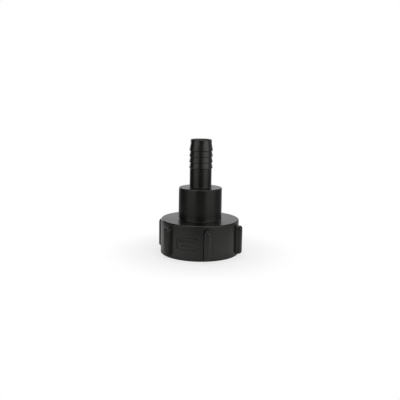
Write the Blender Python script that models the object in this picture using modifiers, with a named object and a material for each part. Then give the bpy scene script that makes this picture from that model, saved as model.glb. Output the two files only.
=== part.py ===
"""Adapter for the outlet of an intermediate bulk container.

One black moulding, turned over a straight axis: a ribbed cap with a coarse
internal buttress thread that screws onto the container's outlet, a smooth
cored collar above it, and a barbed hose tail on top. A flat sealing ring sits
under the cap's ceiling. The axis is +Z and the cap's open rim stands on z = 0.
Sizes are in metres.
"""
import math

import bmesh
import bpy
from mathutils import Matrix, Vector

# The coarse buttress thread inside the cap, nominal 60 x 6
THREAD_ROOT_RADIUS = 0.0303
THREAD_HEIGHT = 0.0019
THREAD_PITCH = 0.0060
THREAD_TURNS = 2.75
THREAD_CREST_WIDTH = 0.0012
THREAD_FROM_RIM = 0.0044
LOAD_FLANK_ANGLE = math.radians(10)
LEAD_FLANK_ANGLE = math.radians(40)
THREAD_RUN_OUT = 0.14
THREAD_SUNK = 0.0006
MOUTH_CHAMFER = 0.0010

# The flat sealing ring under the cap's ceiling
RING_CLEARANCE = 0.0003
RING_THICKNESS = 0.0030
RING_WIDTH = 0.0080
RING_EDGE_ROUND = 0.0004
RING_ABOVE_THREAD = 0.0028

# The cap
CAP_WALL = 0.00495
CAP_DRAFT = 0.00025
CAP_EDGE_ROUND = 0.0010
CAP_RIM_ROUND = 0.0005
CEILING_WALL = 0.0040
CEILING_CORNER_ROUND = 0.0008

# The grip ribs round the cap: drafted flanks, a broad rounded edge and an arched top
RIB_COUNT = 6
RIB_FIRST_ANGLE = math.radians(10.15)
RIB_HALF_WIDTH = 0.0032
RIB_PROUD = 0.0047
RIB_DRAFT = math.radians(6)
RIB_EDGE_ROUND = 0.0021
RIB_CORNER_ROUND = 0.0009
RIB_ABOVE_RIM = 0.0020
RIB_BELOW_EDGE = 0.0032
RIB_SUNK = 0.0020
RIB_END_SUNK = 0.0002

# The collar
COLLAR_RADIUS_TOP = 0.01935
COLLAR_DRAFT = 0.00015
COLLAR_LENGTH = 0.0285
COLLAR_EDGE_ROUND = 0.0009
COLLAR_FOOT_FILLET = 0.0010
COLLAR_WALL = 0.0038
COLLAR_TOP_WALL = 0.0036
CORE_DRAFT = 0.0002
CORE_CORNER_ROUND = 0.0012

# The hose tail
TAIL_LENGTH = 0.0431
TAIL_RADIUS = 0.00978
TAIL_FOOT_FILLET = 0.0008
TAIL_WALL = 0.0024
TIP_NARROWING = 0.00027
TIP_ROUND = 0.0004
TIP_LEAD_IN = 0.0036
TIP_MOUTH_CHAMFER = 0.0004
BORE_THROAT_ROUND = 0.0010
BARB_COUNT = 4
BARB_PITCH = 0.0052
BARB_PROUD = 0.00076
BARB_LAND = 0.0003
BARB_STEP = 0.0002
BARB_ROOT_CUT = 0.00011
FIRST_BARB_FROM_TIP = 0.0099

# How finely round shapes are divided
TURNED_STEPS = 64
ARC_STEPS = 3
RING_ARC_STEPS = 1
RIB_EDGE_STEPS = 4
RIB_ARCH_STEPS = 6

# Radii and heights that follow from the sizes above
CAP_RADIUS_TOP = THREAD_ROOT_RADIUS + CAP_WALL
RING_OUTER_RADIUS = THREAD_ROOT_RADIUS - RING_CLEARANCE
BORE_RADIUS = TAIL_RADIUS - TAIL_WALL
CORE_RADIUS = COLLAR_RADIUS_TOP - COLLAR_WALL
RING_BOTTOM = THREAD_FROM_RIM + THREAD_TURNS * THREAD_PITCH + RING_ABOVE_THREAD
RING_TOP = RING_BOTTOM + RING_THICKNESS
CEILING = RING_TOP + RING_CLEARANCE
CAP_HEIGHT = CEILING + CEILING_WALL
COLLAR_TOP = CAP_HEIGHT + COLLAR_LENGTH
CORE_TOP = COLLAR_TOP - COLLAR_TOP_WALL
TIP_TOP = COLLAR_TOP + TAIL_LENGTH


def clear_scene():
    """Remove whatever the scene holds."""
    for item in list(bpy.data.objects):
        bpy.data.objects.remove(item, do_unlink=True)


def new_collection(name):
    """Add a collection to the scene."""
    collection = bpy.data.collections.new(name)
    bpy.context.scene.collection.children.link(collection)
    return collection


def plastic(name, colour, roughness):
    """A plain material with one colour and one roughness."""
    material = bpy.data.materials.new(name)
    material.use_nodes = True
    shader = material.node_tree.nodes["Principled BSDF"]
    shader.inputs["Base Color"].default_value = (*colour, 1.0)
    shader.inputs["Roughness"].default_value = roughness
    shader.inputs["Metallic"].default_value = 0.0
    return material


def rounded_outline(corners, steps=ARC_STEPS):
    """Turn corners (radius, height, rounding) of a closed outline into points.

    A corner with a rounding becomes an arc that is tangent to both of its sides.
    """
    points = []
    count = len(corners)
    for i, (radius, height, rounding) in enumerate(corners):
        here = Vector((radius, height))
        if rounding == 0.0:
            points.append(here)
            continue
        before = (Vector(corners[i - 1][:2]) - here).normalized()
        after = (Vector(corners[(i + 1) % count][:2]) - here).normalized()
        half_angle = before.angle(after) / 2
        reach = rounding / math.tan(half_angle)
        centre = here + (before + after).normalized() * (rounding / math.sin(half_angle))
        first = here + before * reach - centre
        last = here + after * reach - centre
        turn = first.angle_signed(last)
        for step in range(steps + 1):
            angle = -turn * step / steps
            points.append(centre + Matrix.Rotation(angle, 2) @ first)
    return points


def turned_object(name, outline, collection, material):
    """Turn a closed outline once round the Z axis with a Screw modifier."""
    mesh = bpy.data.meshes.new(name)
    vertices = [(point.x, 0.0, point.y) for point in outline]
    edges = [(i, (i + 1) % len(vertices)) for i in range(len(vertices))]
    mesh.from_pydata(vertices, edges, [])
    body = bpy.data.objects.new(name, mesh)
    collection.objects.link(body)
    mesh.materials.append(material)
    turn = body.modifiers.new("turn", "SCREW")
    turn.axis = "Z"
    turn.angle = 2 * math.pi
    turn.steps = TURNED_STEPS
    turn.render_steps = TURNED_STEPS
    turn.use_merge_vertices = True
    turn.merge_threshold = 0.00001
    turn.use_smooth_shade = True
    return body


def tail_corners():
    """The hose tail's outer side, from its mouth down to the collar's top.

    The barbs start a little below the plain tube's surface, and the last one ends on it.
    """
    tip_radius = TAIL_RADIUS - TIP_NARROWING
    barb_radius = TAIL_RADIUS + BARB_PROUD
    corners = [
        (BORE_RADIUS + TIP_MOUTH_CHAMFER, TIP_TOP, 0.0),
        (tip_radius, TIP_TOP, TIP_ROUND),
        (tip_radius, TIP_TOP - TIP_LEAD_IN, 0.0),
    ]
    for barb in range(BARB_COUNT):
        crest = TIP_TOP - FIRST_BARB_FROM_TIP - barb * BARB_PITCH
        root_cut = 0.0 if barb == BARB_COUNT - 1 else BARB_ROOT_CUT
        corners.append((barb_radius, crest + BARB_LAND, 0.0))
        corners.append((barb_radius, crest, 0.0))
        corners.append((TAIL_RADIUS - root_cut, crest - BARB_STEP, 0.0))
    corners.append((TAIL_RADIUS, COLLAR_TOP, TAIL_FOOT_FILLET))
    return corners


def collar_and_cap_corners():
    """The outer side from the collar's top edge down to the cap's rim."""
    return [
        (COLLAR_RADIUS_TOP, COLLAR_TOP, COLLAR_EDGE_ROUND),
        (COLLAR_RADIUS_TOP + COLLAR_DRAFT, CAP_HEIGHT, COLLAR_FOOT_FILLET),
        (CAP_RADIUS_TOP, CAP_HEIGHT, CAP_EDGE_ROUND),
        (CAP_RADIUS_TOP + CAP_DRAFT, 0.0, CAP_RIM_ROUND),
    ]


def inner_corners():
    """The inner side from the cap's mouth up through the collar to the tail's bore."""
    return [
        (THREAD_ROOT_RADIUS + MOUTH_CHAMFER, 0.0, 0.0),
        (THREAD_ROOT_RADIUS, MOUTH_CHAMFER, 0.0),
        (THREAD_ROOT_RADIUS, CEILING, CEILING_CORNER_ROUND),
        (CORE_RADIUS + CORE_DRAFT, CEILING, CORE_CORNER_ROUND),
        (CORE_RADIUS, CORE_TOP, CORE_CORNER_ROUND),
        (BORE_RADIUS, CORE_TOP, BORE_THROAT_ROUND),
        (BORE_RADIUS, TIP_TOP - TIP_MOUTH_CHAMFER, 0.0),
    ]


def mesh_from_sections(name, sections, collection):
    """Join closed sections of equal point count into one solid with flat ends."""
    bm = bmesh.new()
    rings = [[bm.verts.new(point) for point in section] for section in sections]
    for lower, upper in zip(rings[:-1], rings[1:]):
        count = len(lower)
        for i in range(count):
            j = (i + 1) % count
            bm.faces.new((lower[i], lower[j], upper[j], upper[i]))
    bm.faces.new(list(reversed(rings[0])))
    bm.faces.new(rings[-1])
    bmesh.ops.recalc_face_normals(bm, faces=bm.faces)
    mesh = bpy.data.meshes.new(name)
    bm.to_mesh(mesh)
    bm.free()
    solid = bpy.data.objects.new(name, mesh)
    collection.objects.link(solid)
    solid.hide_render = True
    solid.display_type = "WIRE"
    return solid


def thread_section(angle, height_here):
    """The ridge's section at one angle: a shallow lead flank below, a steep load flank above."""
    middle = THREAD_FROM_RIM + THREAD_PITCH * angle / (2 * math.pi)
    crest_radius = THREAD_ROOT_RADIUS - height_here
    buried_radius = THREAD_ROOT_RADIUS + THREAD_SUNK
    depth = height_here + THREAD_SUNK
    crest_low = middle - THREAD_CREST_WIDTH / 2
    crest_high = middle + THREAD_CREST_WIDTH / 2
    outline = [
        (buried_radius, crest_low - depth * math.tan(LEAD_FLANK_ANGLE)),
        (crest_radius, crest_low),
        (crest_radius, crest_high),
        (buried_radius, crest_high + depth * math.tan(LOAD_FLANK_ANGLE)),
    ]
    return [Vector((r * math.cos(angle), r * math.sin(angle), z)) for r, z in outline]


def thread_ridge(collection):
    """The helical ridge of the thread, which rises from and sinks into the wall at its ends."""
    count = round(THREAD_TURNS * TURNED_STEPS)
    sections = []
    for step in range(count + 1):
        turns_in = step / TURNED_STEPS
        turns_left = (count - step) / TURNED_STEPS
        share = min(1.0, min(turns_in, turns_left) / THREAD_RUN_OUT)
        height_here = THREAD_HEIGHT * math.sin(share * math.pi / 2)
        sections.append(thread_section(2 * math.pi * turns_in, height_here))
    return mesh_from_sections("thread_ridge", sections, collection)


def rib_half_profile(proud):
    """Half of a rib's section as (across, out of the wall), from inside the wall to the crown.

    The edge is an arc that touches the drafted flank and the flat crown.
    """
    slope = math.tan(RIB_DRAFT)
    arc_out = proud - RIB_EDGE_ROUND
    arc_across = RIB_HALF_WIDTH - arc_out * slope - RIB_EDGE_ROUND / math.cos(RIB_DRAFT)
    points = [(RIB_HALF_WIDTH + RIB_SUNK * slope, -RIB_SUNK)]
    for step in range(RIB_EDGE_STEPS + 1):
        angle = RIB_DRAFT + (math.pi / 2 - RIB_DRAFT) * step / RIB_EDGE_STEPS
        across = arc_across + RIB_EDGE_ROUND * math.cos(angle)
        points.append((across, arc_out + RIB_EDGE_ROUND * math.sin(angle)))
    points.append((0.0, proud))
    return points


def rib_bottom_levels():
    """Sections of a rib's lower end, whose edge and corners are rounded."""
    levels = []
    for step in range(RIB_EDGE_STEPS + 1):
        angle = math.pi / 2 * step / RIB_EDGE_STEPS
        rise = RIB_EDGE_ROUND * (1 - math.cos(angle))
        proud = RIB_PROUD - RIB_EDGE_ROUND * (1 - math.sin(angle))
        to_corner = max(RIB_CORNER_ROUND - rise, 0.0)
        inset = RIB_CORNER_ROUND - math.sqrt(RIB_CORNER_ROUND ** 2 - to_corner ** 2)
        narrowing = 1 - inset / RIB_HALF_WIDTH
        section = [(across * narrowing, out) for across, out in rib_half_profile(proud)]
        levels.append((RIB_ABOVE_RIM + rise, section))
    return levels


def cut_profile(profile, rise):
    """The half profile turned about a line out of the wall, and cut a rise above that line.

    A point at a distance from the line is cut at the root of the distance squared less
    the rise squared. What lies nearer than the rise is left out, and the rest is divided
    into as many steps as before.
    """
    last = max(i for i in range(len(profile) - 1) if profile[i][0] >= rise)
    beyond = (profile[last][0] - rise) / (profile[last][0] - profile[last + 1][0])
    section = []
    for step in range(len(profile)):
        place = (last + beyond) * step / (len(profile) - 1)
        i = min(int(place), len(profile) - 2)
        here = Vector(profile[i]).lerp(Vector(profile[i + 1]), place - i)
        section.append((math.sqrt(max(here.x ** 2 - rise ** 2, 0.0)), here.y))
    return section


def rib_top_levels():
    """Sections of a rib's arched upper end, up to one that is buried in the wall."""
    centre = CAP_HEIGHT - RIB_BELOW_EDGE - RIB_HALF_WIDTH
    profile = rib_half_profile(RIB_PROUD)
    levels = []
    for step in range(RIB_ARCH_STEPS):
        rise = RIB_HALF_WIDTH * math.sin(math.pi / 2 * step / RIB_ARCH_STEPS)
        levels.append((centre + rise, cut_profile(profile, rise)))
    buried = RIB_HALF_WIDTH + RIB_END_SUNK * math.tan(RIB_DRAFT)
    levels.append((centre + buried, cut_profile(profile, buried)))
    return levels


def grip_rib(index, collection):
    """One rib. Angles run from the side that faces -Y, towards +X."""
    angle = RIB_FIRST_ANGLE + index * 2 * math.pi / RIB_COUNT - math.pi / 2
    turn = Matrix.Rotation(angle, 3, "Z")
    sections = []
    for height, half in rib_bottom_levels() + rib_top_levels():
        outline = half + [(-across, out) for across, out in reversed(half[:-1])]
        sections.append(
            [turn @ Vector((CAP_RADIUS_TOP + out, across, height)) for across, out in outline]
        )
    return mesh_from_sections(f"rib_{index + 1}", sections, collection)


def join_to(body, addition):
    """Unite a solid with the body."""
    union = body.modifiers.new(addition.name, "BOOLEAN")
    union.operation = "UNION"
    union.solver = "EXACT"
    union.object = addition


def make_adapter_body(collection, helpers, material):
    """The one moulding: turned outline, thread ridge and grip ribs."""
    corners = tail_corners() + collar_and_cap_corners() + inner_corners()
    body = turned_object("adapter_body", rounded_outline(corners), collection, material)
    for index in range(RIB_COUNT):
        join_to(body, grip_rib(index, helpers))
    join_to(body, thread_ridge(helpers))
    return body


def make_sealing_ring(collection, material):
    """The flat ring of soft rubber that lies against the cap's ceiling."""
    inner_radius = RING_OUTER_RADIUS - RING_WIDTH
    corners = [
        (RING_OUTER_RADIUS, RING_TOP, RING_EDGE_ROUND),
        (RING_OUTER_RADIUS, RING_BOTTOM, RING_EDGE_ROUND),
        (inner_radius, RING_BOTTOM, RING_EDGE_ROUND),
        (inner_radius, RING_TOP, RING_EDGE_ROUND),
    ]
    outline = rounded_outline(corners, RING_ARC_STEPS)
    return turned_object("sealing_gasket", outline, collection, material)


def main():
    clear_scene()
    part = new_collection("ibc_tap_adapter")
    helpers = new_collection("helpers")
    black_plastic = plastic("black_polypropylene", (0.030, 0.030, 0.029), 0.34)
    black_rubber = plastic("black_rubber", (0.022, 0.022, 0.022), 0.80)
    make_adapter_body(part, helpers, black_plastic)
    make_sealing_ring(part, black_rubber)


main()
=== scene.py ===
# %% [markdown]
# # A hose adapter for a container's outlet
#
# The object is one black moulding: a ribbed cap with a coarse thread inside, a
# smooth collar and a barbed hose tail, with a flat rubber ring under the cap's
# ceiling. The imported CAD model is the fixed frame. The two pieces made here lie
# exactly where its two solids lie, and add the small rounds, the engraved frame
# and the surface that the solids leave out. Lengths are in metres, +Z is the
# adapter's axis, and the photograph looks along +Y.

import math

import bmesh
import bpy
import numpy as np
from mathutils import Matrix


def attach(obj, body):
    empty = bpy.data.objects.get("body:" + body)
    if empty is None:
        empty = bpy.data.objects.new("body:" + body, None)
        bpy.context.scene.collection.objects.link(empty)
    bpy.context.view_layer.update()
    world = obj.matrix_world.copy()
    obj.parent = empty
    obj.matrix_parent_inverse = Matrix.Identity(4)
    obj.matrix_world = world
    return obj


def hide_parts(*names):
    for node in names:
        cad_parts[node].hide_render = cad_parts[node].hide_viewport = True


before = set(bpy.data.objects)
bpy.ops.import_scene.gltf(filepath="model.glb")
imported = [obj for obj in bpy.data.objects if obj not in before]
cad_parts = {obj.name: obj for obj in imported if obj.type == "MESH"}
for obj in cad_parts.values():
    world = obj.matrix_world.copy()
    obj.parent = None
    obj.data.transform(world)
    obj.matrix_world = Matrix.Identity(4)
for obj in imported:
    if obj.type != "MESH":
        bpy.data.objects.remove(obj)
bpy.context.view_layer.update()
print("CAD nodes:", sorted(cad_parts))

# %% [markdown]
# ## The camera
#
# The photograph was taken from half a metre away and a little above, which shows
# in how the rounds of the collar, the cap's edge and its rim open up more and more
# towards the floor. The lens could be guessed by eye, but the radii of those three
# rounds fix the distance, the height and the focal length together, so they were
# fitted first. The camera rolls by a degree, because the picture isn't quite level.

# %% Place the camera
PICTURE_SIDE = 400
SENSOR_WIDTH = 36.0
FOCAL_PIXELS = 561.4
CAMERA_DISTANCE = 0.500
CAMERA_HEIGHT = 0.1355
CAMERA_PITCH = 0.1738
CAMERA_ROLL = 0.016
CAMERA_YAW = 0.00045


def make_camera():
    """A level camera looks along +Y; it is turned, tipped down and rolled in that order."""
    data = bpy.data.cameras.new("camera")
    data.sensor_width = SENSOR_WIDTH
    data.lens = FOCAL_PIXELS * SENSOR_WIDTH / PICTURE_SIDE
    camera = bpy.data.objects.new("camera", data)
    turn = Matrix.Rotation(CAMERA_YAW, 4, "Z")
    tip = Matrix.Rotation(math.pi / 2 - CAMERA_PITCH, 4, "X")
    roll = Matrix.Rotation(CAMERA_ROLL, 4, "Z")
    place = Matrix.Translation((0.0, -CAMERA_DISTANCE, CAMERA_HEIGHT))
    camera.matrix_world = place @ turn @ tip @ roll
    bpy.context.scene.collection.objects.link(camera)
    bpy.context.scene.camera = camera
    return camera


camera = make_camera()
print("Lens in mm:", round(camera.data.lens, 2))

# %% [markdown]
# ## Two tools for shapes
#
# A turned shape starts as an outline of corners. A real mould has no corner that is
# truly sharp, so each corner may be rounded by an arc that is tangent to both of its
# sides. Spheres or bevels could do that later, but an arc in the outline costs
# nothing and is exact. The second tool turns a grid of points into a closed mesh.

# %% Round the corners of an outline
ARC_STEPS = 7
SMALL_ARC_STEPS = 3
SMALL_ROUNDING = 0.00021


def corner_arcs(corners):
    """Give each corner (radius, height, rounding) of a closed outline its own points.

    The arc's centre lies on the corner's bisector, rounding / sin(half angle) away, and
    the arc runs between the points where the two sides touch the circle.
    """
    places = np.array([corner[:2] for corner in corners])
    arcs = []
    for index, (radius, height, rounding) in enumerate(corners):
        here = np.array([radius, height])
        if rounding == 0.0:
            arcs.append(here[None, :])
            continue
        before = places[index - 1] - here
        after = places[(index + 1) % len(corners)] - here
        before = before / np.linalg.norm(before)
        after = after / np.linalg.norm(after)
        half_angle = math.acos(np.clip(before @ after, -1.0, 1.0)) / 2
        middle = (before + after) / np.linalg.norm(before + after)
        centre = here + middle * rounding / math.sin(half_angle)
        spread = math.pi / 2 - half_angle
        side = np.array([-middle[1], middle[0]])
        side = side * np.sign(side @ after)
        steps = SMALL_ARC_STEPS if rounding < SMALL_ROUNDING else ARC_STEPS
        angles = np.linspace(-spread, spread, steps + 1)[:, None]
        arcs.append(centre + rounding * (np.sin(angles) * side - np.cos(angles) * middle))
    return arcs


print("Points in a wide and in a small arc:", ARC_STEPS + 1, SMALL_ARC_STEPS + 1)


# %% Turn a grid of points into a closed mesh
def solid_from_grid(name, points, capped):
    """Make one closed mesh from rings of points, given as rings x points x 3.

    Each cell between two rings becomes a four-sided face. A capped grid gets a flat face
    on its first and last ring; any other one joins its last ring to its first.
    """
    rings, count = points.shape[:2]
    index = np.arange(rings * count).reshape(rings, count)
    beside = np.roll(index, -1, axis=1)
    if capped:
        low, low_beside, high, high_beside = index[:-1], beside[:-1], index[1:], beside[1:]
    else:
        high, high_beside = np.roll(index, -1, axis=0), np.roll(beside, -1, axis=0)
        low, low_beside = index, beside
    faces = np.stack([low, low_beside, high_beside, high], axis=-1).reshape(-1, 4).tolist()
    if capped:
        faces.append(index[0, ::-1].tolist())
        faces.append(index[-1].tolist())
    mesh = bpy.data.meshes.new(name)
    mesh.from_pydata(points.reshape(-1, 3).tolist(), [], faces)
    shell = bmesh.new()
    shell.from_mesh(mesh)
    bmesh.ops.recalc_face_normals(shell, faces=shell.faces)
    shell.to_mesh(mesh)
    shell.free()
    solid = bpy.data.objects.new(name, mesh)
    bpy.context.scene.collection.objects.link(solid)
    return solid


print("Both shape tools are ready")

# %% [markdown]
# ## The outline of the moulding
#
# Seen in section, the tail, the collar and the cap are one closed outline that runs
# down the outside, round the rim and back up the inside: thread wall, ceiling, the
# collar's hollow core and the bore. The body could be joined from tubes and discs,
# but the real one is poured in one piece, so one outline is turned round the axis.
# Three corners per barb give its lead-in cone, its narrow land and its step.

# %% Sizes of the hose tail, the collar and the cap
THREAD_WALL_RADIUS = 0.0303
CAP_RADIUS = 0.03525
CAP_DRAFT = 0.00025
CAP_HEIGHT = 0.0310
CAP_EDGE_ROUND = 0.0010
CAP_RIM_ROUND = 0.0005
CEILING = 0.0270
CEILING_CORNER_ROUND = 0.0008
RIM_CHAMFER = 0.0010
RIM_CHAMFER_ROUND = 0.0002
COLLAR_RADIUS = 0.01935
COLLAR_DRAFT = 0.00015
COLLAR_TOP = 0.0595
COLLAR_EDGE_ROUND = 0.0009
COLLAR_FOOT_ROUND = 0.0005
CORE_RADIUS = 0.01555
CORE_DRAFT = 0.0002
CORE_TOP = 0.0559
CORE_CORNER_ROUND = 0.0012
TAIL_RADIUS = 0.00978
TAIL_TOP = 0.1026
TIP_NARROWING = 0.00027
TIP_ROUND = 0.0010
TIP_LEAD_IN = 0.0036
MOUTH_CHAMFER = 0.00025
MOUTH_ROUND = 0.00008
TAIL_FOOT_ROUND = 0.0008
BORE_RADIUS = 0.00738
BORE_THROAT_ROUND = 0.0010
BARB_COUNT = 4
BARB_PITCH = 0.0052
BARB_PROUD = 0.00076
BARB_LAND = 0.0002
BARB_STEP = 0.0005
BARB_ROUND = 0.00012
BARB_ROOT_CUT = 0.00011
FIRST_BARB = 0.0099


def tail_corners():
    """Corners of the hose tail's outside, from its mouth down to the collar."""
    tip_radius = TAIL_RADIUS - TIP_NARROWING
    corners = [
        (BORE_RADIUS + MOUTH_CHAMFER, TAIL_TOP, MOUTH_ROUND),
        (tip_radius, TAIL_TOP, TIP_ROUND),
        (tip_radius, TAIL_TOP - TIP_LEAD_IN, 0.0),
    ]
    for barb in range(BARB_COUNT):
        crest = TAIL_TOP - FIRST_BARB - barb * BARB_PITCH
        root_cut = 0.0 if barb == BARB_COUNT - 1 else BARB_ROOT_CUT
        corners.append((TAIL_RADIUS + BARB_PROUD, crest + BARB_LAND, BARB_ROUND))
        corners.append((TAIL_RADIUS + BARB_PROUD, crest, BARB_ROUND))
        corners.append((TAIL_RADIUS - root_cut, crest - BARB_STEP, BARB_ROUND))
    corners.append((TAIL_RADIUS, COLLAR_TOP, TAIL_FOOT_ROUND))
    return corners


def outer_corners():
    """Corners of the collar's and the cap's outside, down to the rim."""
    return [
        (COLLAR_RADIUS, COLLAR_TOP, COLLAR_EDGE_ROUND),
        (COLLAR_RADIUS + COLLAR_DRAFT, CAP_HEIGHT, COLLAR_FOOT_ROUND),
        (CAP_RADIUS, CAP_HEIGHT, CAP_EDGE_ROUND),
        (CAP_RADIUS + CAP_DRAFT, 0.0, CAP_RIM_ROUND),
    ]


def inner_corners():
    """Corners of the inside, from the cap's mouth up to the tail's mouth."""
    return [
        (THREAD_WALL_RADIUS + RIM_CHAMFER, 0.0, RIM_CHAMFER_ROUND),
        (THREAD_WALL_RADIUS, RIM_CHAMFER, RIM_CHAMFER_ROUND),
        (THREAD_WALL_RADIUS, CEILING, CEILING_CORNER_ROUND),
        (CORE_RADIUS + CORE_DRAFT, CEILING, CORE_CORNER_ROUND),
        (CORE_RADIUS, CORE_TOP, CORE_CORNER_ROUND),
        (BORE_RADIUS, CORE_TOP, BORE_THROAT_ROUND),
        (BORE_RADIUS, TAIL_TOP - MOUTH_CHAMFER, MOUTH_ROUND),
    ]


corners = tail_corners() + outer_corners() + inner_corners()
arcs = corner_arcs(corners)
rim_corner = len(tail_corners()) + len(outer_corners()) - 1
above_wall = np.vstack(arcs[:rim_corner])
below_wall = np.vstack(arcs[rim_corner:])
print("Outline points above and below the cap's wall:", len(above_wall), len(below_wall))

# %% [markdown]
# ## The cap's wall and its six grip ribs
#
# A grip rib is a long pad with drafted flanks, a flat crown and a broad rounded edge.
# It ends in an arch at the top and nearly square at the bottom. The ribs could be
# united with the wall, but then their feet would be sharp. Instead the rings that make
# up the wall bulge where a rib is: across one rib a ring follows the wall, a small
# fillet, the flank, the rounded edge and the crown, and back.

# %% Heights of the wall's rings
RIB_COUNT = 6
RIB_FIRST_ANGLE = math.radians(10.15)
RIB_HALF_WIDTH = 0.0032
RIB_PROUD = 0.0047
RIB_DRAFT = math.radians(6)
RIB_EDGE_ROUND = 0.0021
RIB_CORNER_ROUND = 0.0009
RIB_FILLET = 0.00012
RIB_BOTTOM = 0.0020
RIB_TOP = 0.0278
ARCH_CENTRE = RIB_TOP - RIB_HALF_WIDTH
RING_GAP = 0.00008
ARCH_START = math.radians(84)
ARCH_RINGS = 14
BETWEEN_RINGS = 9
BOTTOM_RINGS = 12
DRAFT_SLOPE = math.tan(RIB_DRAFT)
DRAFT_LEAN = 1 / math.cos(RIB_DRAFT)
FOOT_ACROSS = RIB_HALF_WIDTH + RIB_FILLET * (DRAFT_LEAN - DRAFT_SLOPE)


def wall_rings():
    """Heights of the wall's rings above the arch's centre and above the rib's foot.

    In the arch a ring's rise is the sine of an angle, and in the rounded bottom edge the
    height is the edge's radius times one less the cosine, so both are closer together
    where the surface turns faster. The first and last rings cross no rib.
    """
    arch = ARCH_CENTRE + FOOT_ACROSS * np.sin(np.linspace(ARCH_START, 0.0, ARCH_RINGS))
    between = np.linspace(ARCH_CENTRE, RIB_BOTTOM + RIB_EDGE_ROUND, BETWEEN_RINGS + 2)[1:-1]
    turn = np.linspace(math.pi / 2, 0.0, BOTTOM_RINGS)
    feet = RIB_BOTTOM + RIB_EDGE_ROUND * (1 - np.cos(turn))
    return np.concatenate([[arch[0] + RING_GAP], arch, between, feet, [RIB_BOTTOM - RING_GAP]])


wall_heights = wall_rings()
wall_radii = CAP_RADIUS + CAP_DRAFT * (1 - wall_heights / CAP_HEIGHT)
print("Rings on the wall:", len(wall_heights))

# %% The section of a rib
FILLET_STEPS = 4
FLANK_STEPS = 2
EDGE_STEPS = 10
CROWN_STEPS = 2
PROFILE_STEPS = FILLET_STEPS + FLANK_STEPS + EDGE_STEPS + CROWN_STEPS


def circle(across, out, radius, first, last, steps):
    """Points (across, out) of a circle's arc, without its last point."""
    angles = first + (last - first) * np.arange(steps) / steps
    return across + radius * np.cos(angles), out + radius * np.sin(angles)


def straight(first, last, steps):
    """Points of a straight line, without its last point."""
    share = np.arange(steps) / steps
    return first + (last - first) * share


def half_profile(proud):
    """Half of the section as (across, out of the wall), for one height of the crown.

    The foot's arc touches the wall and the flank, and the edge's arc touches the flank
    and the crown. The flank is the line across = half width less out times the draft's
    tangent, so a circle beside it has its centre one radius over the cosine away.
    """
    edge_out = proud - RIB_EDGE_ROUND
    edge_across = RIB_HALF_WIDTH - edge_out * DRAFT_SLOPE - RIB_EDGE_ROUND * DRAFT_LEAN
    upright = math.pi / 2
    flank_turn = math.pi + RIB_DRAFT
    foot = circle(FOOT_ACROSS, RIB_FILLET, RIB_FILLET, 3 * upright, flank_turn, FILLET_STEPS)
    low_across = FOOT_ACROSS - RIB_FILLET * math.cos(RIB_DRAFT)
    low_out = RIB_FILLET - RIB_FILLET * math.sin(RIB_DRAFT)
    high_across = edge_across + RIB_EDGE_ROUND * math.cos(RIB_DRAFT)
    high_out = edge_out + RIB_EDGE_ROUND * math.sin(RIB_DRAFT)
    edge = circle(edge_across, edge_out, RIB_EDGE_ROUND, RIB_DRAFT, upright, EDGE_STEPS)
    across = np.concatenate([
        foot[0], straight(low_across, high_across, FLANK_STEPS), edge[0],
        straight(edge_across, 0.0, CROWN_STEPS), [0.0],
    ])
    out = np.concatenate([
        foot[1], straight(low_out, high_out, FLANK_STEPS), edge[1],
        np.full(CROWN_STEPS + 1, proud),
    ])
    return across, out


def cut_profile(rise):
    """The profile turned about a line out of the wall, and cut a rise above that line.

    A point at a distance from the line is cut at the root of the distance squared less
    the rise squared. What lies nearer is left out and the rest is divided anew.
    """
    across, out = half_profile(RIB_PROUD)
    places = np.arange(PROFILE_STEPS + 1)
    last = np.interp(-rise, -across, places)
    picked = np.linspace(0.0, last, PROFILE_STEPS + 1)
    distance = np.interp(picked, places, across)
    cut = np.sqrt(np.maximum(distance**2 - rise**2, 0.0))
    cut[-1] = 0.0
    return cut, np.interp(picked, places, out)


def bottom_profile(foot):
    """The profile at a height above the rib's foot, lower and narrower near the foot.

    Both follow a circle: what is missing is the radius less the root of the radius
    squared less the distance to the arc's end squared.
    """
    to_edge = max(RIB_EDGE_ROUND - foot, 0.0)
    lowered = RIB_EDGE_ROUND - math.sqrt(RIB_EDGE_ROUND**2 - to_edge**2)
    to_corner = max(RIB_CORNER_ROUND - foot, 0.0)
    inset = RIB_CORNER_ROUND - math.sqrt(RIB_CORNER_ROUND**2 - to_corner**2)
    across, out = half_profile(RIB_PROUD - lowered)
    return across * (1 - inset / RIB_HALF_WIDTH), out


print("Points in half a rib's section:", PROFILE_STEPS + 1)


# %% One section for each ring
def rib_profiles():
    """One half profile per ring, from the top down. Rings without a rib have none."""
    arch = wall_heights[1:1 + ARCH_RINGS]
    below_arch = wall_heights[1 + ARCH_RINGS:-1]
    profiles = [cut_profile(height - ARCH_CENTRE) for height in arch]
    profiles += [bottom_profile(height - RIB_BOTTOM) for height in below_arch]
    across = np.array([profile[0] for profile in profiles])
    out = np.array([profile[1] for profile in profiles])
    return across, out


rib_across, rib_proud = rib_profiles()
print("Rings that cross a rib:", len(rib_across))

# %% The strip of a ring that crosses one rib
RIB_EDGE_ROOM = 0.0003
WALL_STEPS = 3
STRIP_HALF = RIB_HALF_WIDTH + RIB_FILLET + RIB_EDGE_ROOM
STRIP_ANGLE = math.asin(STRIP_HALF / CAP_RADIUS)
STRIP_STEPS = 2 * (WALL_STEPS + PROFILE_STEPS)


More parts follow.
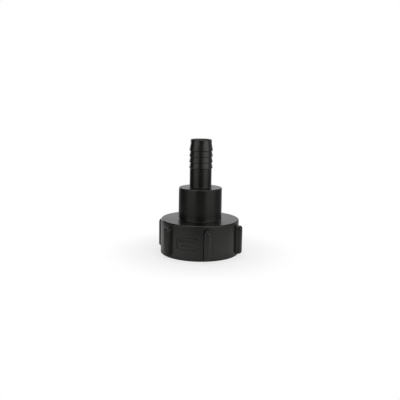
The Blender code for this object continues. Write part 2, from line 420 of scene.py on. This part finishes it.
def rib_strips(radii):
    """Points (out, across) of the strips of all rings that cross a rib.

    The foot follows the round wall, where out is the root of the radius squared less
    across squared, and the crown is flat. Between them the two are mixed by height.
    """
    beside = straight(STRIP_HALF, rib_across[:, :1], WALL_STEPS)
    across = np.hstack([beside, rib_across])
    proud = np.hstack([np.zeros_like(beside), rib_proud])
    wall = np.sqrt(radii[:, None] ** 2 - across**2)
    share = proud / RIB_PROUD
    out = proud + wall * (1 - share) + CAP_RADIUS * share
    return np.hstack([out, out[:, -2::-1]]), np.hstack([-across, across[:, -2::-1]])


def plain_strips(radii, rib_spacing=0.0, shares=0.0):
    """Points (out, across) of strips that follow the round wall.

    They are spaced evenly where the share is 0 and as in the rib's first or last ring
    where it is 1, and in between the two are mixed. Out is the root of the radius squared
    less across squared.
    """
    angles = np.linspace(-STRIP_ANGLE, STRIP_ANGLE, STRIP_STEPS + 1)[None, :]
    even = radii[:, None] * np.sin(angles)
    across = even + (rib_spacing - even) * shares
    return np.sqrt(radii[:, None] ** 2 - across**2), across


print("Points across a rib's strip:", STRIP_STEPS + 1)

# %% Whole rings: six rib strips with the wall between them
BETWEEN_STEPS = 22
SECTOR_STEPS = STRIP_STEPS + BETWEEN_STEPS
RING_STEPS = RIB_COUNT * SECTOR_STEPS


def turned_sectors(radii, heights, strips):
    """Add the arc to the next strip, then turn the sixth of a ring six times.

    Angles run from -Y towards +X. A point is out times the direction of its rib, plus
    across times the direction at a right angle to it.
    """
    out, across = strips
    between = np.linspace(STRIP_ANGLE, 2 * math.pi / RIB_COUNT - STRIP_ANGLE, BETWEEN_STEPS + 1)
    between = between[None, 1:-1]
    out = np.hstack([out, radii[:, None] * np.cos(between)])
    across = np.hstack([across, radii[:, None] * np.sin(between)])
    angles = RIB_FIRST_ANGLE + np.arange(RIB_COUNT) * 2 * math.pi / RIB_COUNT
    sine = np.sin(angles)[None, :, None]
    cosine = np.cos(angles)[None, :, None]
    out, across = out[:, None, :], across[:, None, :]
    x = (out * sine + across * cosine).reshape(len(radii), -1)
    y = (across * sine - out * cosine).reshape(len(radii), -1)
    z = np.repeat(heights[:, None], x.shape[1], axis=1)
    return np.stack([x, y, z], axis=-1)


def plain_rings(outline):
    """Turn outline points (radius, height) round the axis in even steps.

    X is the radius times the angle's sine, and Y is less the radius times its cosine.
    """
    start = RIB_FIRST_ANGLE - STRIP_ANGLE
    angles = start + np.arange(RING_STEPS) * 2 * math.pi / RING_STEPS
    radii = outline[:, :1]
    x = radii * np.sin(angles)
    y = -radii * np.cos(angles)
    z = np.repeat(outline[:, 1:], RING_STEPS, axis=1)
    return np.stack([x, y, z], axis=-1)


print("Points in a ring:", RING_STEPS)

# %% Join all rings into the moulding
EDGE_ARC_POINTS = ARC_STEPS + 1
SPREAD_RINGS = 7


def spread_rings(plain, beside_rib, rib_spacing):
    """Rings from a plain one to the one beside a rib's end, with the spacing mixed evenly."""
    shares = np.linspace(0.0, 1.0, SPREAD_RINGS)[:, None]
    outline = plain + (beside_rib - plain) * shares
    strips = plain_strips(outline[:, 0], rib_spacing, shares)
    return turned_sectors(outline[:, 0], outline[:, 1], strips)


def make_moulding():
    """Rings down the outside, round the rim and up the inside, closed into one shell.

    The arcs next to the wall are divided evenly across each rib's strip. Above and below
    the ribs the points draw together ring by ring, because a sudden change of spacing
    would tilt the faces. All other rings are divided evenly all round.
    """
    wall = np.stack([wall_radii, wall_heights], axis=-1)
    edge = above_wall[-EDGE_ARC_POINTS:]
    ribbed = wall[1:-1]
    rim = below_wall[:EDGE_ARC_POINTS]
    strips = rib_strips(ribbed[:, 0])
    first_across = strips[1][:1]
    last_across = strips[1][-1:]
    rings = np.concatenate([
        plain_rings(above_wall[:-EDGE_ARC_POINTS]),
        turned_sectors(edge[:-1, 0], edge[:-1, 1], plain_strips(edge[:-1, 0])),
        spread_rings(edge[-1], wall[0], first_across),
        turned_sectors(ribbed[:, 0], ribbed[:, 1], strips),
        spread_rings(rim[0], wall[-1], last_across)[::-1],
        turned_sectors(rim[1:, 0], rim[1:, 1], plain_strips(rim[1:, 0])),
        plain_rings(below_wall[EDGE_ARC_POINTS:]),
    ])
    return solid_from_grid("moulded_body", rings, capped=False)


body = make_moulding()
print("Moulding:", len(body.data.polygons), "faces in rings of", RING_STEPS)

# %% [markdown]
# ## The thread inside the cap
#
# The thread is a coarse buttress: a steep flank faces the ceiling and takes the load,
# and a shallow one faces the mouth. One section is carried along a helix. A Screw
# modifier could do that too, but it can't let the ridge sink into the wall at both
# ends, as a moulded thread does.

# %% Carry the thread's section along its helix
THREAD_HEIGHT = 0.0019
THREAD_PITCH = 0.0060
THREAD_TURNS = 2.75
THREAD_FROM_RIM = 0.0044
THREAD_CREST_WIDTH = 0.0012
THREAD_CREST_ROUND = 0.00025
THREAD_RUN_OUT = 0.14
THREAD_SUNK = 0.0006
THREAD_STEPS_PER_TURN = 120
LOAD_FLANK = math.radians(10)
LEAD_FLANK = math.radians(40)


def make_thread():
    """Turn by 2 pi and rise by one pitch per turn.

    The section moves outwards into the wall near both ends, by the thread's height times
    one less the sine of a quarter turn over the run-out.
    """
    depth = THREAD_HEIGHT + THREAD_SUNK
    crest = THREAD_WALL_RADIUS - THREAD_HEIGHT
    buried = THREAD_WALL_RADIUS + THREAD_SUNK
    half = THREAD_CREST_WIDTH / 2
    section = np.vstack(corner_arcs([
        (buried, -half - depth * math.tan(LEAD_FLANK), 0.0),
        (crest, -half, THREAD_CREST_ROUND),
        (crest, half, THREAD_CREST_ROUND),
        (buried, half + depth * math.tan(LOAD_FLANK), 0.0),
    ]))
    turns = np.linspace(0.0, THREAD_TURNS, round(THREAD_TURNS * THREAD_STEPS_PER_TURN) + 1)
    share = np.clip(np.minimum(turns, THREAD_TURNS - turns) / THREAD_RUN_OUT, 0.0, 1.0)
    sunk = THREAD_HEIGHT * (1 - np.sin(share * math.pi / 2))
    angles = 2 * math.pi * turns[:, None]
    radii = section[None, :, 0] + sunk[:, None]
    heights = section[None, :, 1] + THREAD_FROM_RIM + THREAD_PITCH * turns[:, None]
    points = np.stack([radii * np.cos(angles), radii * np.sin(angles), heights], axis=-1)
    return solid_from_grid("thread_ridge", points, capped=True)


thread = make_thread()
print("Thread ridge:", len(thread.data.polygons), "faces")

# %% [markdown]
# ## The engraved frame
#
# A round-cornered frame is sunk into the wall to the left of the front rib, with two
# rows of short upright bars in it. Both are drawn on the unrolled wall and wrapped
# round it. A bump in the material could show them, but a cut groove also casts its own
# shadow.

# %% Cut the frame's groove and the bars
FRAME_ANGLE = math.radians(-18.2)
FRAME_WIDTH = 0.0186
FRAME_LOW = 0.0100
FRAME_HIGH = 0.0203
FRAME_CORNER = 0.0022
GROOVE_WIDTH = 0.0009
ENGRAVED_DEPTH = 0.0005
ENGRAVED_TAPER = 0.0001
CUTTER_PROUD = 0.0004
BAR_WIDTH = 0.0008
BAR_HEIGHT = 0.0024
BAR_SPACING = 0.0019
BAR_ROWS = ((8, 0.0175), (5, 0.0135))
BAR_END_SHARE = 0.98
CORNER_STEPS = 8
LINE_STEPS = 12


def wrapped(along, heights, depths):
    """Lay points of the unrolled wall round it: along divided by the radius is an angle."""
    angles = FRAME_ANGLE + along / CAP_RADIUS
    wall = CAP_RADIUS + CAP_DRAFT * (1 - heights / CAP_HEIGHT)
    radii = wall - depths
    return np.stack([radii * np.sin(angles), -radii * np.cos(angles), heights], axis=-1)


def rounded_rectangle(half_width, low, high, rounding):
    """Points and outward directions of a rectangle whose corners are quarter circles."""
    corner_turn = np.linspace(0.0, math.pi / 2, CORNER_STEPS + 1)
    turns = np.concatenate([corner_turn + side * math.pi / 2 for side in range(4)])
    directions = np.stack([np.cos(turns), np.sin(turns)], axis=-1)
    middle = (low + high) / 2
    centre_along = half_width - rounding
    centre_height = (high - low) / 2 - rounding
    signs = np.array([(1, 1), (-1, 1), (-1, -1), (1, -1)])
    centres = np.repeat(signs * (centre_along, centre_height), CORNER_STEPS + 1, axis=0)
    points = centres + rounding * directions + (0.0, middle)
    return points, directions


def make_groove():
    """A tapered square tube along the rectangle, proud of the wall and sunk into it.

    Its straight sides are divided into short steps, so that they follow the round wall.
    """
    points, directions = rounded_rectangle(FRAME_WIDTH / 2, FRAME_LOW, FRAME_HIGH, FRAME_CORNER)
    widen = np.linspace(0.0, 1.0, LINE_STEPS, endpoint=False)[None, :, None]
    after = np.roll(points, -1, axis=0)[:, None, :]
    long_side = (np.linalg.norm(after[:, 0] - points, axis=-1) > FRAME_CORNER)[:, None]
    path = (points[:, None, :] * (1 - widen) + after * widen).reshape(-1, 2)
    headings = np.repeat(directions, LINE_STEPS, axis=0)
    keep = (long_side | (np.arange(LINE_STEPS)[None, :] == 0)).ravel()
    path, headings = path[keep], headings[keep]
    half = GROOVE_WIDTH / 2
    offsets = np.array([-half, half, half - ENGRAVED_TAPER, -half + ENGRAVED_TAPER])
    depths = np.array([-CUTTER_PROUD, -CUTTER_PROUD, ENGRAVED_DEPTH, ENGRAVED_DEPTH])
    across = path[:, None, :] + headings[:, None, :] * offsets[None, :, None]
    points = wrapped(across[..., 0], across[..., 1], depths[None, :])
    return solid_from_grid("frame_groove", points, capped=False)


def make_bar(name, along, middle):
    """A short bar with round ends, narrower at the bottom of the cut."""
    levels = []
    for depth, inset in ((-CUTTER_PROUD, 0.0), (ENGRAVED_DEPTH, ENGRAVED_TAPER)):
        half = BAR_WIDTH / 2 - inset
        low = middle - BAR_HEIGHT / 2 + inset
        high = middle + BAR_HEIGHT / 2 - inset
        outline, _ = rounded_rectangle(half, low, high, half * BAR_END_SHARE)
        depths = np.full(len(outline), depth)
        levels.append(wrapped(outline[:, 0] + along, outline[:, 1], depths))
    return solid_from_grid(name, np.stack(levels), capped=True)


def make_bars():
    """Rows of bars, given as a count and a height, centred and one spacing apart."""
    bars = []
    for count, middle in BAR_ROWS:
        for index in range(count):
            along = (index - (count - 1) / 2) * BAR_SPACING
            bars.append(make_bar(f"bar_{len(bars) + 1}", along, middle))
    return bars


cutters = [make_groove()] + make_bars()
print("Cutters:", len(cutters))

# %% Unite the thread with the moulding and cut the engraving
SHARP_ANGLE = math.radians(32)


def combine(solid, tool, operation):
    """Give a solid one exact Boolean modifier."""
    step = solid.modifiers.new(tool.name, "BOOLEAN")
    step.operation = operation
    step.solver = "EXACT"
    step.object = tool


def settle(solid):
    """Keep a solid's modifiers as its own mesh."""
    evaluated = solid.evaluated_get(bpy.context.evaluated_depsgraph_get())
    mesh = bpy.data.meshes.new_from_object(evaluated)
    solid.modifiers.clear()
    solid.data = mesh


def shade_evenly(solid):
    """Smooth shading up to a sharp angle, with normals weighted by the faces' areas.

    The weights keep flat faces flat beside the narrow faces of a small round.
    """
    solid.data.shade_smooth()
    solid.data.set_sharp_from_angle(angle=SHARP_ANGLE)
    weighting = solid.modifiers.new("even_shading", "WEIGHTED_NORMAL")
    weighting.keep_sharp = True
    settle(solid)


combine(body, thread, "UNION")
for cutter in cutters:
    combine(body, cutter, "DIFFERENCE")
settle(body)
for tool in [thread] + cutters:
    bpy.data.objects.remove(tool, do_unlink=True)
shade_evenly(body)
print("Body after the Booleans:", len(body.data.polygons), "faces")

# %% [markdown]
# ## The sealing ring
#
# A flat ring of soft rubber lies under the cap's ceiling. It is punched and then
# rubbed down, so its edges are barely rounded. A disc with a hole could stand for it,
# but a turned outline gives the rounds and stays a closed solid.

# %% Turn the sealing ring
RING_INNER_RADIUS = 0.0220
RING_OUTER_RADIUS = 0.0300
RING_BOTTOM = 0.0237
RING_TOP = 0.0267
RING_ROUND = 0.0004


def make_ring():
    """A rectangle with rounded corners, turned round the axis."""
    outline = np.vstack(corner_arcs([
        (RING_OUTER_RADIUS, RING_TOP, RING_ROUND),
        (RING_OUTER_RADIUS, RING_BOTTOM, RING_ROUND),
        (RING_INNER_RADIUS, RING_BOTTOM, RING_ROUND),
        (RING_INNER_RADIUS, RING_TOP, RING_ROUND),
    ]))
    return solid_from_grid("rubber_ring", plain_rings(outline), capped=False)


ring = make_ring()
shade_evenly(ring)
print("Sealing ring:", len(ring.data.polygons), "faces")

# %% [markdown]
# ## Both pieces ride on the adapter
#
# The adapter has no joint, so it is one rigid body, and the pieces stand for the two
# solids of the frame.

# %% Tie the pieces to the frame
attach(body, "root")
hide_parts("adapter_body")
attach(ring, "root")
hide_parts("sealing_gasket")

# %% [markdown]
# ## Shader maths as Python
#
# A finish is a small graph of nodes. Adding each Math node by hand hides what is
# worked out, so a wrapped socket takes part in plain arithmetic instead, and one
# method adds every other node.


# %% Wrap sockets and graphs
class Amount:
    """A shader value. Arithmetic on it adds Math nodes."""

    def __init__(self, graph, socket):
        self.graph = graph
        self.socket = socket

    def worked(self, operation, first, second):
        made = self.graph.node("ShaderNodeMath", {"operation": operation}, {0: first, 1: second})
        return Amount(self.graph, made.outputs[0])

    def __add__(self, other):
        return self.worked("ADD", self, other)

    def __radd__(self, other):
        return self.worked("ADD", other, self)

    def __sub__(self, other):
        return self.worked("SUBTRACT", self, other)

    def __rsub__(self, other):
        return self.worked("SUBTRACT", other, self)

    def __mul__(self, other):
        return self.worked("MULTIPLY", self, other)

    def __rmul__(self, other):
        return self.worked("MULTIPLY", other, self)


class Graph:
    """The nodes of one material or of the world."""

    def __init__(self, tree):
        self.tree = tree

    def node(self, kind, settings=None, inputs=None):
        """Add a node, make its settings, then fill or link its sockets."""
        made = self.tree.nodes.new(kind)
        for name, value in (settings or {}).items():
            setattr(made, name, value)
        for name, value in (inputs or {}).items():
            self.feed(made.inputs[name], value)
        return made

    def feed(self, socket, value):
        """Link a socket to another one or give it a fixed value."""
        if isinstance(value, Amount):
            value = value.socket
        if isinstance(value, bpy.types.NodeSocket):
            self.tree.links.new(value, socket)
        else:
            socket.default_value = value

    def amount(self, socket):
        """Wrap an output for arithmetic."""
        return Amount(self, socket)

    def noise(self, place, scale, detail, roughness=0.5):
        """Cloudy noise between 0 and 1, about 0.5 on average."""
        inputs = {"Vector": place, "Scale": scale, "Detail": detail, "Roughness": roughness}
        return self.amount(self.node("ShaderNodeTexNoise", None, inputs).outputs["Fac"])

    def smooth_step(self, value, start, end):
        """0 below start, 1 above end, and an S curve between them."""
        settings = {"interpolation_type": "SMOOTHSTEP"}
        inputs = {"Value": value, "From Min": start, "From Max": end}
        return self.amount(self.node("ShaderNodeMapRange", settings, inputs).outputs["Result"])

    def blend(self, share, first, second):
        """Mix two colours."""
        inputs = {0: share, 6: (*first, 1.0), 7: (*second, 1.0)}
        return self.node("ShaderNodeMix", {"data_type": "RGBA"}, inputs).outputs[2]

    def bump(self, height, strength, depth):
        """Turn a height between 0 and 1 into a tilted normal."""
        inputs = {"Height": height, "Strength": strength, "Distance": depth}
        return self.node("ShaderNodeBump", None, inputs).outputs["Normal"]


def new_material(name):
    """A material with a graph and its main shader."""
    material = bpy.data.materials.new(name)
    material.use_nodes = True
    graph = Graph(material.node_tree)
    return material, graph, material.node_tree.nodes["Principled BSDF"]


print("Shader tools are ready")

# %% [markdown]
# ## Black polypropylene
#
# The plastic is nearly black, and almost all of its look is gloss: broad soft
# reflections on the round walls and bright ones where it is seen at a shallow angle.
# A flat colour would look cut out. The gloss is uneven in clouds a centimetre or two
# wide, where the melt cooled at different speeds, and a fine grain from the mould's
# polish breaks it up below a millimetre. The level faces, which are seen at a very
# shallow angle, are mottled as well: there ripples a few millimetres wide are added.

# %% Make the plastic
PLASTIC_DARK = (0.0048, 0.0048, 0.0046)
PLASTIC_LIGHT = (0.0070, 0.0070, 0.0066)
PLASTIC_ROUGHNESS = 0.30
CLOUD_SCALE = 70.0
CLOUD_GLOSS = 0.08
GRAIN_SCALE = 1600.0
GRAIN_GLOSS = 0.05
GRAIN_DEPTH = 0.00004
GRAIN_STRENGTH = 0.25
RIPPLE_SCALE = 420.0
RIPPLE_OVER_GRAIN = 8.0
LEVEL_FROM = 0.95
LEVEL_TO = 0.99


def make_plastic():
    """Clouds tint the plastic and turn its gloss, and grain and ripples turn its normal.

    The roughness is its mean plus, for each noise, the noise less a half times a swing.
    The bump's height is the grain plus the ripples, which count only where the normal's
    Z is nearly 1.
    """
    material, graph, shader = new_material("black_polypropylene")
    coordinates = graph.node("ShaderNodeTexCoord")
    place = coordinates.outputs["Object"]
    clouds = graph.noise(place, CLOUD_SCALE, detail=2.0)
    grain = graph.noise(place, GRAIN_SCALE, detail=3.0, roughness=0.6)
    ripples = graph.noise(place, RIPPLE_SCALE, detail=2.0)
    graph.feed(shader.inputs["Base Color"], graph.blend(clouds, PLASTIC_DARK, PLASTIC_LIGHT))
    roughness = PLASTIC_ROUGHNESS + (clouds - 0.5) * CLOUD_GLOSS + (grain - 0.5) * GRAIN_GLOSS
    graph.feed(shader.inputs["Roughness"], roughness)
    normal = graph.node("ShaderNodeSeparateXYZ", None, {0: coordinates.outputs["Normal"]})
    level = graph.smooth_step(normal.outputs["Z"], LEVEL_FROM, LEVEL_TO)
    height = grain + RIPPLE_OVER_GRAIN * (ripples * level)
    graph.feed(shader.inputs["Normal"], graph.bump(height, GRAIN_STRENGTH, GRAIN_DEPTH))
    return material


plastic = make_plastic()
body.data.materials.clear()
body.data.materials.append(plastic)
print("Plastic nodes:", len(plastic.node_tree.nodes))

# %% [markdown]
# ## Black rubber
#
# The ring is matt and a shade greyer than the plastic, with a dusty, finely pitted
# skin. Roughness alone would leave it flat, so two sizes of noise lift its colour and
# its surface.

# %% Make the rubber
RUBBER_DARK = (0.016, 0.016, 0.016)
RUBBER_LIGHT = (0.028, 0.028, 0.027)
RUBBER_ROUGHNESS = 0.72
DUST_SCALE = 180.0
DUST_GLOSS = 0.2
PIT_SCALE = 2400.0
PIT_DEPTH = 0.00006
PIT_STRENGTH = 0.5


def make_rubber():
    """Dust lifts the colour and the roughness, and pits turn the normal."""
    material, graph, shader = new_material("black_rubber")
    place = graph.node("ShaderNodeTexCoord").outputs["Object"]
    dust = graph.noise(place, DUST_SCALE, detail=4.0, roughness=0.6)
    pits = graph.noise(place, PIT_SCALE, detail=2.0)
    graph.feed(shader.inputs["Base Color"], graph.blend(dust, RUBBER_DARK, RUBBER_LIGHT))
    graph.feed(shader.inputs["Roughness"], RUBBER_ROUGHNESS + (dust - 0.5) * DUST_GLOSS)
    graph.feed(shader.inputs["Normal"], graph.bump(pits, PIT_STRENGTH, PIT_DEPTH))
    return material


rubber = make_rubber()
ring.data.materials.clear()
ring.data.materials.append(rubber)
print("Rubber nodes:", len(rubber.node_tree.nodes))

# %% [markdown]
# ## The table
#
# The adapter stands on a small white board. Near the object the board is really lit
# and glows a little, so it keeps a soft and pale shadow, and away from it the camera
# sees plain white. Inside the cap nothing is lifted, so the bore looks dark from
# above. One huge floor would be simpler, but the black plastic would mirror all of it,
# and in the photograph only the lower walls mirror something white.

# %% Make the table
TABLE_RADIUS = 0.150
TABLE_DROP = 0.00004
TABLE_COLOUR = (0.88, 0.88, 0.88)
TABLE_ROUGHNESS = 0.9
TABLE_SHINE = 0.1
TABLE_GLOW = 0.14
WHITE = (1.0, 1.0, 1.0)
BACKGROUND = 1.0
SHADOW_LIFT = 0.68
RIM_INSIDE = 0.0315
RIM_OUTSIDE = 0.0345
SHADOW_REACH = 0.040
WHITE_FROM = 0.095
TABLE_SIDES = 160


def make_table():
    """A flat disc just under the rim. Its points are cosine and sine times the radius."""
    angles = np.arange(TABLE_SIDES) * 2 * math.pi / TABLE_SIDES
    drop = np.full(TABLE_SIDES, -TABLE_DROP)
    points = np.stack([TABLE_RADIUS * np.cos(angles), TABLE_RADIUS * np.sin(angles), drop], axis=-1)
    mesh = bpy.data.meshes.new("table")
    mesh.from_pydata(points.tolist(), [], [list(range(TABLE_SIDES))])
    table = bpy.data.objects.new("table", mesh)
    bpy.context.scene.collection.objects.link(table)
    return table


def make_table_paint():
    """Real white paint near the middle, and plain white to the camera further out.

    The share of plain white is nothing inside the cap, the shadow's lift around it, and
    one from where the shadow ends.
    """
    material, graph, shader = new_material("white_board")
    shader.inputs["Base Color"].default_value = (*TABLE_COLOUR, 1.0)
    shader.inputs["Roughness"].default_value = TABLE_ROUGHNESS
    shader.inputs["Specular IOR Level"].default_value = TABLE_SHINE
    shader.inputs["Emission Color"].default_value = (*WHITE, 1.0)
    shader.inputs["Emission Strength"].default_value = TABLE_GLOW
    place = graph.node("ShaderNodeTexCoord").outputs["Object"]
    distance = graph.node("ShaderNodeVectorMath", {"operation": "LENGTH"}, {0: place})
    outside = graph.smooth_step(distance.outputs["Value"], RIM_INSIDE, RIM_OUTSIDE)
    far = graph.smooth_step(distance.outputs["Value"], SHADOW_REACH, WHITE_FROM)
    white = SHADOW_LIFT * outside + (1.0 - SHADOW_LIFT) * far
    seen = graph.amount(graph.node("ShaderNodeLightPath").outputs["Is Camera Ray"])
    plain = {"Color": (*WHITE, 1.0), "Strength": BACKGROUND}
    glow = graph.node("ShaderNodeEmission", None, plain)
    parts = {0: white * seen, 1: shader.outputs["BSDF"], 2: glow.outputs["Emission"]}
    mixed = graph.node("ShaderNodeMixShader", None, parts)
    output = material.node_tree.nodes["Material Output"]
    graph.feed(output.inputs["Surface"], mixed.outputs["Shader"])
    return material


table = make_table()
table.data.materials.append(make_table_paint())
print("Table radius in mm:", 1000 * TABLE_RADIUS)

# %% [markdown]
# ## The studio
#
# The bands on the round walls say where the light came from. Two wide soft boxes low
# on either side of the camera make the two bright bands of the collar and the tail,
# and two more above them light the cap and the sloping barbs. The rounded edges mirror
# a box high in front and one overhead, and faint lights from the right, the left and
# behind draw the outer edges. The middle of each round wall mirrors the dark room
# behind the camera, and the top faces mirror a pale backdrop behind the object. Point
# lamps would be simpler, but gloss shows a lamp's size and shape. A box is given by its
# glow, which is its watts divided by four times its area.

# %% Hang the soft boxes
BOX_DISTANCE = 0.90
BOX_AIM = (0.0, 0.0, 0.05)
WARM = (1.0, 1.005, 0.94)


def soft_box(name, azimuth, elevation, width, height, glow, tint=WHITE):
    """An area lamp that faces the object. Angles are in degrees and sizes in metres.

    Azimuth runs from the camera's side towards +X, and elevation up from the table.
    """
    data = bpy.data.lights.new(name, "AREA")
    data.shape = "RECTANGLE"
    data.size = width
    data.size_y = height
    data.energy = 4 * width * height * glow
    data.color = tint
    lamp = bpy.data.objects.new(name, data)
    turn = Matrix.Rotation(math.radians(azimuth), 4, "Z")
    tip = Matrix.Rotation(math.radians(90 - elevation), 4, "X")
    away = Matrix.Translation((0.0, 0.0, BOX_DISTANCE))
    lamp.matrix_world = Matrix.Translation(BOX_AIM) @ turn @ tip @ away
    lamp.visible_camera = False
    bpy.context.scene.collection.objects.link(lamp)
    return lamp


soft_box("left_box", -50, 7, 0.90, 0.38, 1.22, WARM)
soft_box("right_box", 57, 7, 0.96, 0.38, 1.48, WARM)
soft_box("middle_left_box", -38, 32, 0.66, 0.40, 0.28, WARM)
soft_box("middle_right_box", 38, 32, 0.80, 0.40, 0.93, WARM)
soft_box("high_box", 20, 58, 0.90, 0.36, 0.60)
soft_box("top_box", -165, 76, 0.50, 0.50, 2.4)
soft_box("back_box", -177, 7, 0.44, 0.22, 0.60)
soft_box("left_edge_box", -152, 3, 0.30, 0.20, 2.40)
soft_box("right_fill", 118, 12, 0.76, 0.60, 0.21)

# %% Paint the room
ROOM_GLOW = 0.05
BACKDROP_GLOW = 0.34
BACKDROP_HALF_ANGLE = 16
BACKDROP_EDGE = 40


def make_room():
    """White to the camera; a pale backdrop behind the object and a dark room elsewhere.

    The backdrop is where the cosine of the angle to +Y, seen from above, is large. The
    plastic has neither metal nor glass in it, so only the camera's rays see the white.
    """
    world = bpy.data.worlds.new("room")
    world.use_nodes = True
    graph = Graph(world.node_tree)
    background = world.node_tree.nodes["Background"]
    looking = graph.node("ShaderNodeTexCoord").outputs["Generated"]
    multiply = {"operation": "MULTIPLY"}
    normalize = {"operation": "NORMALIZE"}
    flat = graph.node("ShaderNodeVectorMath", multiply, {0: looking, 1: (1.0, 1.0, 0.0)})
    level = graph.node("ShaderNodeVectorMath", normalize, {0: flat.outputs["Vector"]})
    facing = graph.node("ShaderNodeSeparateXYZ", None, {0: level.outputs["Vector"]})
    start = math.cos(math.radians(BACKDROP_HALF_ANGLE + BACKDROP_EDGE))
    end = math.cos(math.radians(BACKDROP_HALF_ANGLE))
    backdrop = graph.smooth_step(facing.outputs["Y"], start, end)
    seen = graph.amount(graph.node("ShaderNodeLightPath").outputs["Is Camera Ray"])
    room = ROOM_GLOW + BACKDROP_GLOW * backdrop
    graph.feed(background.inputs["Strength"], seen * BACKGROUND + (1.0 - seen) * room)
    background.inputs["Color"].default_value = (*WHITE, 1.0)
    bpy.context.scene.world = world
    return world


room = make_room()
bpy.context.scene.view_settings.view_transform = "Standard"
print("World nodes:", len(room.node_tree.nodes))
